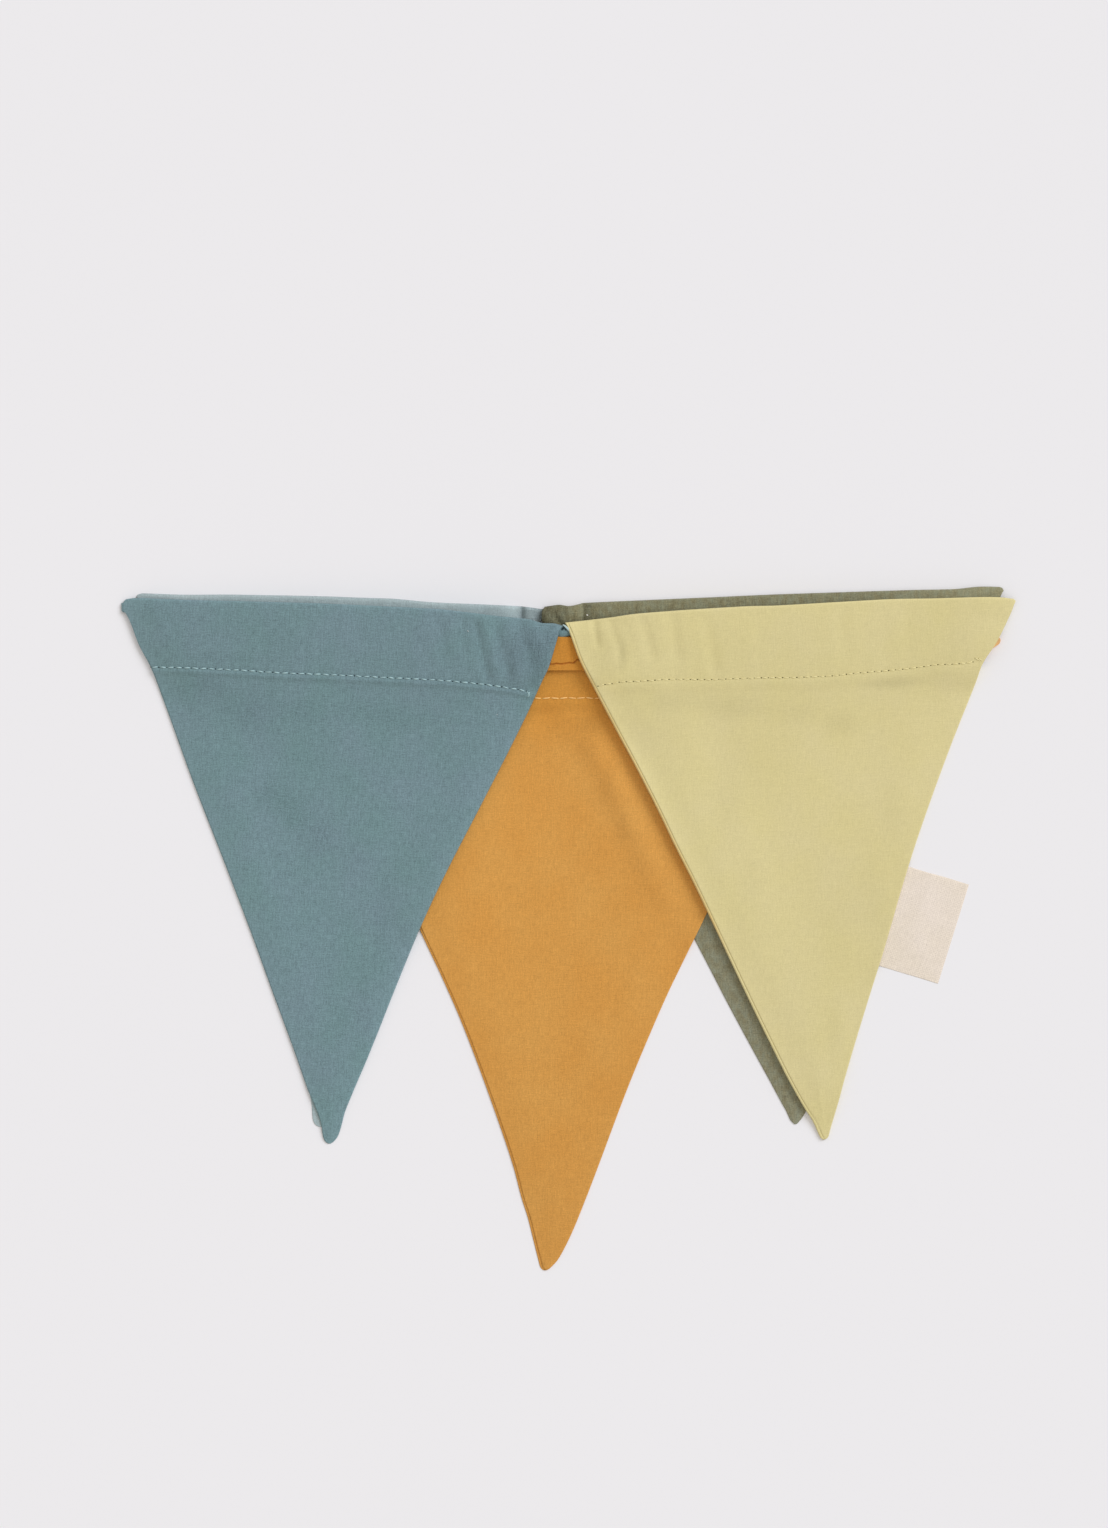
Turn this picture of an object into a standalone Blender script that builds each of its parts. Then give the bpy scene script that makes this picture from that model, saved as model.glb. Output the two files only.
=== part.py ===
"""Fabric bunting, folded up flat and lying face up.

Five triangular cotton flags lie in a stack: two at the back, one long flag over
them, a narrow stitched band across the tops, and two flags in front. A woven side
label is sewn into the right seam of the front right flag.

Every length below is in millimetres and MM turns it into metres. The flags' tips
point to -Y, their right side up, and the lowest cloth lies flat on Z = 0.
"""
import bmesh
import bpy
import numpy as np

MM = 0.001

# Cloth thicknesses
FLAG_THICK = 1.0
BAND_THICK = 1.2
LABEL_THICK = 1.0

# How one piece lies on the next
GAP = 0.6
EDGE_CLEAR = 4.0
FALL_LENGTH = 16.0

# The casing folded along a flag's top, down to its line of stitches and the
# hem's ridge below it
CASING_DEPTH = 22.0
PROFILE_COLUMNS = ("down", "thickness")
CASING_PROFILE = (
    (0.0, 1.2),
    (4.0, 1.6),
    (11.0, 1.8),
    (18.0, 1.6),
    (22.0, 1.2),
    (25.0, 1.5),
    (30.0, FLAG_THICK),
)

# Mesh spacing
FLAG_COLUMNS = 13
CASING_ROWS = (0.0, 1.5, 4.0, 7.0, 10.0, 13.0, 16.0, 19.0, 22.0, 25.0, 28.0, 32.0, 36.0)
BODY_ROWS = 13
TIP_ROWS = (5.0, 2.0, 0.0)
BODY_TO_TIP = 9.0

# An outline's sections, from the top edge down: the distance down from the top
# edge's line, and how far the left and right edges lie from the centre line.
SECTION_COLUMNS = ("down", "left", "right")
# A top edge: the distance along it from the centre line, and how far it dips.
TOP_EDGE_COLUMNS = ("along", "dip")
# A soft crease: the points its ridge runs through, and its height at each.
CREASE_COLUMNS = ("along", "down", "height")
CREASE_HALF_WIDTH = 9.0

LIGHT_BLUE_SECTIONS = (
    (0.0, -65.0, 64.2),
    (20.0, -57.5, 57.0),
    (60.0, -42.0, 41.5),
    (128.0, -15.2, 14.5),
    (157.0, -5.2, 3.0),
    (164.0, -3.6, 1.2),
    (168.7, -2.0, -0.8),
)
LIGHT_BLUE_TOP = (
    (-65.0, 1.3),
    (-62.0, -0.2),
    (-34.0, -0.3),
    (10.0, -1.0),
    (31.0, 0.2),
    (64.2, 0.8),
)

DARK_GREEN_SECTIONS = (
    (0.0, -73.0, 73.6),
    (5.5, -70.3, 71.5),
    (20.0, -63.5, 64.0),
    (60.0, -48.0, 47.5),
    (108.6, -28.7, 28.5),
    (146.6, -10.1, 12.0),
    (162.8, -2.2, 5.4),
    (168.9, 0.9, 2.0),
)
DARK_GREEN_TOP = (
    (-73.0, 2.5),
    (-70.0, 0.3),
    (-43.0, -0.6),
    (3.0, -1.0),
    (66.0, -1.0),
    (73.6, 0.8),
)

OCHRE_SECTIONS = (
    (0.0, -83.0, 82.5),
    (20.0, -75.7, 75.0),
    (94.4, -44.8, 44.4),
    (151.5, -20.0, 20.3),
    (173.0, -12.4, 12.1),
    (187.0, -8.3, 6.8),
    (200.7, -5.5, 0.2),
    (203.9, -4.2, -2.8),
)
OCHRE_TOP = (
    (-83.0, 1.5),
    (-78.0, 0.0),
    (0.0, 0.3),
    (78.0, 0.0),
    (82.5, 1.5),
)
OCHRE_CREASE = (
    (4.0, 32.0, 0.5),
    (13.0, 50.0, 0.9),
    (22.0, 67.0, 1.0),
    (28.0, 83.0, 0.9),
    (24.0, 98.0, 0.7),
    (17.0, 118.0, 0.3),
)

BLUE_SECTIONS = (
    (0.0, -70.6, 71.0),
    (9.0, -68.2, 68.7),
    (16.8, -64.8, 66.7),
    (23.0, -60.8, 64.4),
    (33.0, -56.3, 60.1),
    (85.5, -33.4, 36.7),
    (127.5, -15.2, 20.9),
    (151.0, -5.0, 12.6),
    (163.7, 0.2, 8.4),
    (170.0, 2.5, 6.7),
    (172.3, 3.6, 4.9),
)
BLUE_TOP = (
    (-70.6, 3.1),
    (-65.6, 1.2),
    (-33.0, 0.6),
    (28.5, -0.1),
    (49.4, 0.5),
    (60.0, 1.1),
    (64.4, 2.6),
    (71.0, 3.0),
)

PALE_GREEN_SECTIONS = (
    (0.0, -72.0, 72.0),
    (4.4, -70.7, 70.4),
    (12.8, -68.3, 66.1),
    (21.8, -64.7, 59.9),
    (35.0, -58.3, 54.2),
    (62.9, -45.4, 42.2),
    (88.8, -34.5, 31.0),
    (128.5, -18.0, 16.7),
    (150.8, -8.5, 9.0),
    (161.0, -3.9, 5.7),
    (170.5, 0.2, 2.1),
)
PALE_GREEN_TOP = (
    (-72.0, 1.0),
    (-60.0, 0.0),
    (-32.0, -1.3),
    (29.0, -1.3),
    (62.0, -0.4),
    (72.0, 1.6),
)

BAND_WIDTH = 11.2
BAND_SECTIONS = (
    (0.0, -122.0, 137.4),
    (1.6, -122.0, 138.8),
    (3.4, -121.6, 137.4),
    (BAND_WIDTH, -120.0, 130.0),
)
BAND_TOP = (
    (-122.0, 0.3),
    (-90.0, 0.5),
    (-45.0, -0.3),
    (0.0, 0.2),
    (45.0, -0.4),
    (90.0, 0.4),
    (139.0, -0.3),
)
BAND_MESH_COLUMNS = 40
BAND_MESH_ROWS = (0.0, 1.6, 3.4, 7.3, BAND_WIDTH)

LABEL_SEWN_IN = 3.0
LABEL_SHOWN = 19.2
LABEL_LENGTH = 33.6
LABEL_WIDTH = LABEL_SEWN_IN + LABEL_SHOWN
LABEL_SECTIONS = (
    (0.0, -LABEL_WIDTH / 2, LABEL_WIDTH / 2),
    (LABEL_LENGTH, -LABEL_WIDTH / 2, LABEL_WIDTH / 2),
)
LABEL_TOP = ((-LABEL_WIDTH / 2, 0.0), (LABEL_WIDTH / 2, 0.0))
LABEL_MESH_COLUMNS = 6
LABEL_MESH_ROWS = 8

# The pieces from the lowest to the highest. A piece's place is the middle of its
# top edge's line, and a positive turn swings its tip towards +X. It lies over the
# pieces before it, apart from those it lies beside.
PIECES = (
    {
        "name": "flag_light_blue",
        "place": (-73.7, 105.7),
        "turn": -1.65,
        "sections": LIGHT_BLUE_SECTIONS,
        "top_edge": LIGHT_BLUE_TOP,
        "profile": CASING_PROFILE,
        "material": "light_blue_cotton",
    },
    {
        "name": "flag_dark_green",
        "beside": ("flag_light_blue",),
        "place": (65.0, 106.3),
        "turn": 2.0,
        "sections": DARK_GREEN_SECTIONS,
        "top_edge": DARK_GREEN_TOP,
        "profile": CASING_PROFILE,
        "material": "dark_green_cotton",
    },
    {
        "name": "flag_ochre",
        "place": (-1.5, 94.1),
        "turn": -0.75,
        "sections": OCHRE_SECTIONS,
        "top_edge": OCHRE_TOP,
        "profile": CASING_PROFILE,
        "crease": OCHRE_CREASE,
        "material": "ochre_cotton",
    },
    {
        "name": "band_ochre",
        "place": (-0.7, 93.8),
        "turn": 0.0,
        "sections": BAND_SECTIONS,
        "top_edge": BAND_TOP,
        "profile": ((0.0, BAND_THICK), (BAND_WIDTH, BAND_THICK)),
        "columns": BAND_MESH_COLUMNS,
        "rows": BAND_MESH_ROWS,
        "material": "ochre_cotton",
    },
    {
        "name": "side_label",
        "place": (116.8, 17.6),
        "turn": -17.0,
        "sections": LABEL_SECTIONS,
        "top_edge": LABEL_TOP,
        "profile": ((0.0, LABEL_THICK), (LABEL_LENGTH, LABEL_THICK)),
        "columns": LABEL_MESH_COLUMNS,
        "rows": tuple(np.linspace(0.0, LABEL_LENGTH, LABEL_MESH_ROWS)),
        "material": "label_weave",
    },
    {
        "name": "flag_blue",
        "place": (-72.2, 103.9),
        "turn": -2.9,
        "sections": BLUE_SECTIONS,
        "top_edge": BLUE_TOP,
        "profile": CASING_PROFILE,
        "material": "blue_cotton",
    },
    {
        "name": "flag_pale_green",
        "beside": ("flag_blue",),
        "place": (71.1, 102.8),
        "turn": 3.1,
        "sections": PALE_GREEN_SECTIONS,
        "top_edge": PALE_GREEN_TOP,
        "profile": CASING_PROFILE,
        "material": "pale_green_cotton",
    },
)

# A material's name and its linear colour
CLOTH_COLOURS = (
    ("light_blue_cotton", (0.36, 0.44, 0.45)),
    ("dark_green_cotton", (0.20, 0.20, 0.13)),
    ("ochre_cotton", (0.62, 0.30, 0.075)),
    ("blue_cotton", (0.165, 0.25, 0.265)),
    ("pale_green_cotton", (0.65, 0.56, 0.28)),
    ("label_weave", (0.78, 0.69, 0.58)),
)
CLOTH_ROUGHNESS = 0.9
SHARP_EDGE_DEGREES = 40.0


def clear_scene():
    for old in list(bpy.data.objects):
        bpy.data.objects.remove(old, do_unlink=True)


def make_materials():
    made = {}
    for name, colour in CLOTH_COLOURS:
        material = bpy.data.materials.new(name)
        material.use_nodes = True
        shader = material.node_tree.nodes["Principled BSDF"]
        shader.inputs["Base Color"].default_value = (*colour, 1.0)
        shader.inputs["Roughness"].default_value = CLOTH_ROUGHNESS
        shader.inputs["Metallic"].default_value = 0.0
        made[name] = material
    return made


def read_table(table, columns, at, wanted):
    """A column of a table, read in straight lines between its rows. The rows go by the
    table's first column."""
    rows = np.array(table)
    return np.interp(at, rows[:, 0], rows[:, columns.index(wanted)])


def eased(amount):
    """0 to 1 with a soft start and end."""
    amount = np.clip(amount, 0.0, 1.0)
    return amount * amount * (3.0 - 2.0 * amount)


def place_point(piece, along, down):
    """A piece's own along and down as the object's x and y."""
    turn = np.radians(piece["turn"])
    x = piece["place"][0] + along * np.cos(turn) + down * np.sin(turn)
    y = piece["place"][1] + along * np.sin(turn) - down * np.cos(turn)
    return x, y


def own_point(piece, x, y):
    """The object's x and y as a piece's own along and down."""
    turn = np.radians(piece["turn"])
    from_x = x - piece["place"][0]
    from_y = y - piece["place"][1]
    along = from_x * np.cos(turn) + from_y * np.sin(turn)
    down = from_x * np.sin(turn) - from_y * np.cos(turn)
    return along, down


def edges_at(piece, down):
    left = read_table(piece["sections"], SECTION_COLUMNS, down, "left")
    right = read_table(piece["sections"], SECTION_COLUMNS, down, "right")
    return left, right


def height_of(piece):
    """From a piece's top edge to its lowest section."""
    return piece["sections"][-1][SECTION_COLUMNS.index("down")]


def beyond_outline(piece, along, down):
    """How far a point lies outside a piece: 0 or less where it is over it."""
    left, right = edges_at(piece, down)
    tall = height_of(piece)
    sideways = np.maximum(left - along, along - right)
    endways = np.maximum(-down, down - tall)
    outside = np.hypot(np.maximum(sideways, 0.0), np.maximum(endways, 0.0))
    return np.where(outside > 0.0, outside, np.maximum(sideways, endways))


def thickness(piece, down):
    return read_table(piece["profile"], PROFILE_COLUMNS, down, "thickness")


def crease_height(piece, along, down):
    """The ridge along a piece's crease, highest on its line and gone at its half width."""
    height = np.zeros_like(along)
    crease = [dict(zip(CREASE_COLUMNS, row)) for row in piece.get("crease", ())]
    for start, end in zip(crease, crease[1:]):
        run_along = end["along"] - start["along"]
        run_down = end["down"] - start["down"]
        from_along = along - start["along"]
        from_down = down - start["down"]
        run_squared = run_along**2 + run_down**2
        share = np.clip((from_along * run_along + from_down * run_down) / run_squared, 0.0, 1.0)
        away = np.hypot(from_along - share * run_along, from_down - share * run_down)
        ridge = start["height"] + share * (end["height"] - start["height"])
        height = np.maximum(height, ridge * (1.0 - eased(away / CREASE_HALF_WIDTH)))
    return height


def underside(level, x, y):
    """The height of a piece's lower face: it lies over every piece below it, stays up a
    little past their edges, and comes softly down to the surface between them."""
    height = np.zeros_like(x)
    beside = PIECES[level].get("beside", ())
    for below in range(level):
        if PIECES[below]["name"] in beside:
            continue
        along, down = own_point(PIECES[below], x, y)
        past_edge = beyond_outline(PIECES[below], along, down) - EDGE_CLEAR
        held_up = 1.0 - eased(past_edge / FALL_LENGTH)
        height = np.maximum(height, (upper_face(below, x, y) + GAP) * held_up)
    along, down = own_point(PIECES[level], x, y)
    return height + crease_height(PIECES[level], along, down)


def upper_face(level, x, y):
    down = own_point(PIECES[level], x, y)[1]
    return underside(level, x, y) + thickness(PIECES[level], down)


def flag_rows(piece):
    """The mesh rows of a flag: close together in its casing and at its tip."""
    tall = height_of(piece)
    body = np.linspace(CASING_ROWS[-1], tall - BODY_TO_TIP, BODY_ROWS)[1:]
    tip = [tall - rise for rise in TIP_ROWS]
    return (*CASING_ROWS, *body, *tip)


def outline_grid(piece, share, down):
    """Where a mesh point lies: its share of the way across, at its row's distance down."""
    left, right = edges_at(piece, down)
    along = left + share * (right - left)
    dip = read_table(piece["top_edge"], TOP_EDGE_COLUMNS, along, "dip")
    fading = np.clip(1.0 - down / CASING_DEPTH, 0.0, 1.0)
    return along, down + dip * fading


def build_piece(level, materials):
    """A sheet: a grid laid out inside its outline, extruded from its lower to its upper face."""
    piece = PIECES[level]
    rows = piece.get("rows") or flag_rows(piece)
    columns = piece.get("columns", FLAG_COLUMNS)
    work = bmesh.new()
    bmesh.ops.create_grid(work, x_segments=columns, y_segments=len(rows) - 1, size=0.5)
    across = np.array([vertex.co.x + 0.5 for vertex in work.verts])
    row = np.array([round((0.5 - vertex.co.y) * (len(rows) - 1)) for vertex in work.verts])
    along, down = outline_grid(piece, across, np.array(rows)[row])
    x, y = place_point(piece, along, down)
    lower = underside(level, x, y)
    rise = work.verts.layers.float.new("rise")
    for vertex, thick, *spot in zip(work.verts, upper_face(level, x, y) - lower, x, y, lower):
        vertex.co = [value * MM for value in spot]
        vertex[rise] = thick * MM
    for item in bmesh.ops.extrude_face_region(work, geom=list(work.faces))["geom"]:
        if isinstance(item, bmesh.types.BMVert):
            item.co.z += item[rise]
    work.verts.layers.float.remove(rise)
    bmesh.ops.recalc_face_normals(work, faces=list(work.faces))
    mesh = bpy.data.meshes.new(piece["name"])
    work.to_mesh(mesh)
    work.free()
    mesh.materials.append(materials[piece["material"]])
    mesh.shade_smooth()
    mesh.set_sharp_from_angle(angle=np.radians(SHARP_EDGE_DEGREES))
    made = bpy.data.objects.new(piece["name"], mesh)
    bpy.context.scene.collection.objects.link(made)
    return made


def centre_on_origin(made):
    """Move the whole bunting so that its box is centred over the origin."""
    corners = np.concatenate([[vertex.co for vertex in item.data.vertices] for item in made])
    middle = (corners.min(axis=0) + corners.max(axis=0)) / 2
    for item in made:
        item.location = (-middle[0], -middle[1], 0.0)


clear_scene()
cloths = make_materials()
centre_on_origin([build_piece(level, cloths) for level in range(len(PIECES))])
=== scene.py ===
"""Fabric bunting, folded up flat and lying face up, as woven cotton flags with stitched
casings. Tables are in millimetres and MM turns them into metres."""
import math

import bpy
import numpy as np
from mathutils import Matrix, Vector


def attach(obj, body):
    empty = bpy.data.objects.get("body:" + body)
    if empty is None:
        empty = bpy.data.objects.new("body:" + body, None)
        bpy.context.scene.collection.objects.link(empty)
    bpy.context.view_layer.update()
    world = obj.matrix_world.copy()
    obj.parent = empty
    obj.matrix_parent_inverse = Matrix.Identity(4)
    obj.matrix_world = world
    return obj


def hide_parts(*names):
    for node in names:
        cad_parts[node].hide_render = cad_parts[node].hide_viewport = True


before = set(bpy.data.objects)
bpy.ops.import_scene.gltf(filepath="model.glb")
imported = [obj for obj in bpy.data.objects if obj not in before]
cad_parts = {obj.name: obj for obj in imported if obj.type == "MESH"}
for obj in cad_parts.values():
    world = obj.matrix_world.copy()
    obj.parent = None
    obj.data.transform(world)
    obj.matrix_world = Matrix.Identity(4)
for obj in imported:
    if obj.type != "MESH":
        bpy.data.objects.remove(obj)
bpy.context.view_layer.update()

scene = bpy.context.scene
MM = 0.001

# Camera: straight above, its picture in the photograph's frame
PICTURE_SIZE = (1108, 1528)
PIXEL = 0.32
OBJECT_MIDDLE_PIXEL = (568.75, 929.2)
LENS = 100
SENSOR = 36
LOOK_HEIGHT = 4

# How one piece lies on the next, on height fields of square cells: close at its edges
# and gently further in
CELL = 0.5
CLOSE_REACH = 4
GENTLE_REACH = 16
EDGE_HOLD = 24
RIM_REACH = 1
RIM_SOFT = 0.3
TOP_GAP_REACH = 3
EDGE_REACH = 1.5
EDGE_SHARE = 0.05
LOWER_REACH = 2
THINNEST = 0.02

# Cloth: thinner at its seams, with a hem's slope and ridge below the stitches, a puffed
# casing, the stitches' groove and soft waves as (seed, size, height), of varied lengths
SEAM_THICK = 0.26
END_THICK = 0.3
HEM_FALL = 6
RIDGE_BELOW = 1.15
RIDGE_HALF_WIDTH = 0.6
CASING_RISE = 0.55
CASING_PUFF = 0.12
PUFF_POWER = 0.6
GROOVE_HALF_WIDTH = 0.7
GROOVE_END = 2
PULL_SHARE = 0.75
UNEVEN = ((3, 60, 0.07), (40, 22, 0.015))
WAVE_LENGTHS = (0.6, 1.7)
LIP_RADIUS = 0.3
NOTCH_HALF_WIDTH = 0.14
END_ROUND_REACH = 12
FALL_REACH = 8
STEP_WIDTH = 0.5
STEP_FADE = (9, 8)
LEFT_LIFT_REACH = 36

# Gathers: how many soft waves, their shortest and longest, their lean and least share, how
# they begin at the top (reach, share) and how they end below the stitches (past, reach)
GATHER_COUNT = 6
GATHER_LENGTHS = (5, 15)
GATHER_LEAN = 0.25
GATHER_SHARE = 0.35
GATHER_TOP = (5, 0.2)
GATHER_END = (7, 9)
# The band's folded edge: the crevice (above it, half width, depth), the rim (reach, rise)
CREVICE = (0.15, 0.2, 0.6)
FOLD_RIM = (0.4, 0.2)

# Mesh spacing: the distances of the first mesh lines from an edge, then an even spacing
EDGE_STEPS = (0, 0.03, 0.1, 0.22, 0.38, 0.58, 0.8, 0.92, 1, 1.08, 1.2, 1.4, 1.75, 2.3, 3)
TOP_STEPS = (0, 0.04, 0.12, 0.26, 0.46, 0.72, 1.05, 1.5)
TIP_STEPS = (2.6, 1.9, 1.3, 0.85, 0.5, 0.25, 0.1, 0)
TIP_ROOM = 0.5
SPACING = 1.15
CASING_SPACING = 0.8
STITCH_SPACING = 0.45
FOLD_SPACING = 0.1
STITCH_ROWS = (-2.5, 6.5)
FOLD_ROWS_ABOVE = 0.8
DIP_REACH = 22
SAMPLES = 2000

# Stitches and holes: each thread's bow, slant, random shifts (of its tilt, end and start),
# plumpness and end size, then each hole's size, rings as (share, lift), flatness and depth
THREAD_BOW = 0.14
THREAD_SLANT = 0.10
THREAD_SHIFTS = (0.05, 0.08, 0.06)
THREAD_PLUMP = (0.75, 1.12)
THREAD_ENDS = 0.45
TAIL_RADIUS = 0.16
HOLE_PLUMP = (0.7, 1.15)
HOLE_RINGS = ((1, 0), (0.55, 0.07))
HOLE_FLAT = 0.75
HOLE_DEPTH = 0.15
# The seeds of random draws, to which a piece's level is added
GATHER_SEED, STITCH_SEED, HOLE_SEED = 20, 70, 90

# What a piece has where its own table says nothing else. A hem is (below the stitches,
# length, height), a roll (height, width), gathers (height, middle, reach), a thread
# (radius, gap at each end), a step (along, drop, reach of its rise) and a dense stretch of
# mesh (from, to, closer). Lifts are (down, height).
LEVEL = ((0, 0), (1, 0))
PLAIN = dict(
    thick=0.62, gap=0.08, beside=(), stitches=(), creases=(), fine_creases=(), steps=(), dense=(),
    fold=(), gathers=(), tails=(), left_lift=LEVEL, right_lift=LEVEL, lift_reach=36,
    right_fall=(0, 1), top_gap=0, seam_reach=(12, 12), hem=(1.3, 1.5, 0.25), ridge=0.17,
    roll=(0, 1), taper=0.1, side_round=0.24, top_round=0.6, end_round=0, lip=0, shade=(), notch=0.3,
    thread=(0.2, 0.4), hole=0.3, pull=0.25,
)

# The pieces, the lowest first. Left and right edges are (down, along) and the top edge is
# (along, dip), measured from the middle of the top edge's line. A stitch line is (along,
# down). A crease is (along, down, to along, to down, half width, height), a trough where
# the height is below nothing.
LIGHT_BLUE = dict(
    place=(-73.7, 105.7), turn=-1.65, colour="light_blue_cotton",
    left=((1.3, -65), (20, -57.5), (60, -42), (128, -15.2), (157.3, -5.4), (162, -4.1), (167.2, -3.5),
        (168.8, -2.7), (169.5, -1.6)),
    right=((0.7, 67), (3, 66.2), (20, 57.5), (60, 41.5), (128, 14.5), (157, 3), (164, 1.2), (168.8, 0),
        (169.5, -0.9)),
    top=((-65, 1.4), (-64.6, 0.5), (-62.7, 0), (-52, 0.1), (-34, -0.4), (-2.7, -0.7), (8, -0.6),
        (16.5, -0.6), (22, -0.3), (30.4, 0.2), (50.8, 0.5), (58.5, 0.7), (67, 1.6)),
    stitches=((-56, 21.5), (0, 21), (55, 21.5)),
    pitch=2.68, steps=((58.3, 1.7, 1.8),), seam_reach=(12, 3), dense=((43, 68, 2.2),), top_round=1.3,
    creases=((63.8, -1, 63.8, 9, 1.4, -0.3), (51, -1, 50, 9, 1.2, 0.2), (47, -1, 46, 9, 2, -0.25),
        (36, -1, 33, 9, 2.5, -0.25), (12, -1, 14, 8, 2.5, -0.12), (-18, -1, -15, 8, 3, -0.12)),
)
DARK_GREEN = dict(
    place=(65, 106.3), turn=2, colour="dark_green_cotton",
    left=((0.6, -72.7), (2.5, -73.7), (5, -73.8), (9, -71.5), (20, -63.5), (60, -47.9), (108.6, -28.4),
        (119, -23.5), (129.8, -18.4), (146.6, -10.1), (154.9, -5.9), (162.8, -2), (165.1, -0.8),
        (168, 0.4), (169.3, 1.6)),
    right=((0.7, 74.7), (3, 73.7), (20, 64.6), (60, 47.5), (108.6, 28.5), (146.6, 12.4), (162.8, 6.4),
        (164.4, 5.9), (166.1, 5), (168.1, 3.6), (169.3, 2.4)),
    top=((-72.7, 0.6), (-68, 0.1), (-65, 0.6), (-61.5, 0.1), (-60.5, -0.2), (-43.4, -0.4), (-18.9, -0.6),
        (2.6, -0.8), (43.4, -0.7), (58.6, -0.5), (67, -1), (73.4, -0.7), (74.2, -0.4), (74.7, 0.4)),
    stitches=((-62, 21.5), (0, 21), (62, 21.5)),
    pitch=2.4, steps=((-60.9, 1.6, 2.4),), roll=(1, 8.2), seam_reach=(4, 12), dense=((-76, -52, 2.2),),
    end_round=2.2,
    creases=((-67.2, -1, -66.4, 4, 1, -0.35), (-69.5, 4, -66.5, 8, 0.8, -0.4),
        (-65.2, 2, -63.5, 6, 1, 0.2), (-71, 3, -68, 5.5, 0.7, -0.3), (-64.2, 4, -63.4, 9, 0.8, -0.35),
        (-57, 3, -55, 10, 1.4, -0.3), (-48, -2, -44, 10, 3, -0.2), (-38, -2, -39, 6, 2, -0.12),
        (-8, -2, -5, 10, 4, -0.15), (20, -2, 21, 8, 3, -0.1), (52, -2, 50, 8, 3, -0.12)),
)
OCHRE = dict(
    place=(-1.5, 94.1), turn=-0.75, colour="ochre_cotton",
    left=((0, -83), (20, -75.8), (60, -60), (94.4, -45.3), (110.6, -37.5), (122, -32.3), (130.9, -28.6),
        (151.5, -20.7), (171.2, -13.8), (181, -11.1), (186.7, -9.2), (195.4, -6.9), (200.7, -5.5),
        (203, -4.8), (203.9, -3.9)),
    right=((0, 82.5), (20, 75.1), (60, 58.9), (88.1, 47.3), (96.9, 43.2), (106, 38.9), (114.8, 34.8),
        (131.2, 27.9), (142, 23.6), (151.9, 19.9), (162, 16.3), (173.4, 12.2), (180.7, 9.5), (190.7, 5.6),
        (197, 2.7), (200.7, 0.6), (202.4, -0.9), (203.7, -2.4), (203.9, -3)),
    top=((-83, 1.5), (-78, 0.2), (-10, 0.4), (4, 0.2), (78, 0.2), (82.5, 1.5)),
    stitches=((-74, 20.5), (-8.7, 20.4), (11.5, 20.1), (74, 20.5)),
    pitch=2.8, lip=0.75, lip_height=0.55, thread=(0.21, 0.15), hole=0.1, pull=0.1, ridge=0.08,
    hem=(2.3, 3, 0.3), left_lift=((0, 0), (70, 0), (90, 0.4), (160, 0.4), (203, 0.1)),
    creases=((1.5, 28, 9, 35, 3.6, 0.35), (10.5, 38, 17, 48, 4, 0.6), (18, 51, 22, 59, 4, 0.6),
        (23.5, 63, 27, 70, 4, 0.55), (28.5, 74, 33, 84, 4, 0.4), (14, 40, 33, 76, 8, 0.5),
        (32, 91, 22, 103, 1.8, -0.08), (22, 103, 16, 123, 1.8, -0.08), (-6, 24.5, 12, 24, 2.5, -0.3)),
)
BAND = dict(
    place=(-0.7, 93.8), turn=0, colour="ochre_cotton",
    left=((0, -122), (3.4, -121.6), (11.2, -120)),
    right=((0, 138.4), (0.6, 139.1), (1.4, 139.4), (2.5, 139), (3.6, 137.4), (11.2, 128)),
    top=((-122, 0.3), (-90, 0.5), (-45, -0.3), (-6, 0.2), (0, 0.4), (45, -0.4), (90, 0.4), (137.7, 0)),
    creases=((-3.5, 0, -3, 6, 1.2, -0.12), (1.5, 1, 2, 8, 1, -0.1)), dense=((-8, 8, 9), (133, 140, 2.2)),
    # The band's colour is darkened as painted shade, where it lies deep between the front flags
    shade=(0.86, 0.77, 0.54), thick=0.9, taper=28,
    fold=((-122, 9.2), (-12, 9.3), (-4.6, 9.4), (-3.2, 9.15), (-1.8, 9.3), (-0.2, 9.1), (1.1, 8.85),
        (2.1, 9), (2.8, 8.5), (3.7, 7.9), (7, 8.3), (60, 8.8), (139.6, 9)),
)
LABEL = dict(
    place=(116.8, 17.6), turn=-17, colour="label_weave",
    left=((0, -11.1), (33.3, -11.1)),
    right=((0, 12.3), (16, 12.2), (33.3, 12.1)),
    top=((-11.1, 0), (-3, 0.15), (5, -0.05), (11.9, 0)),
    thick=0.12, gap=0, side_round=0.1,
)
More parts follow.
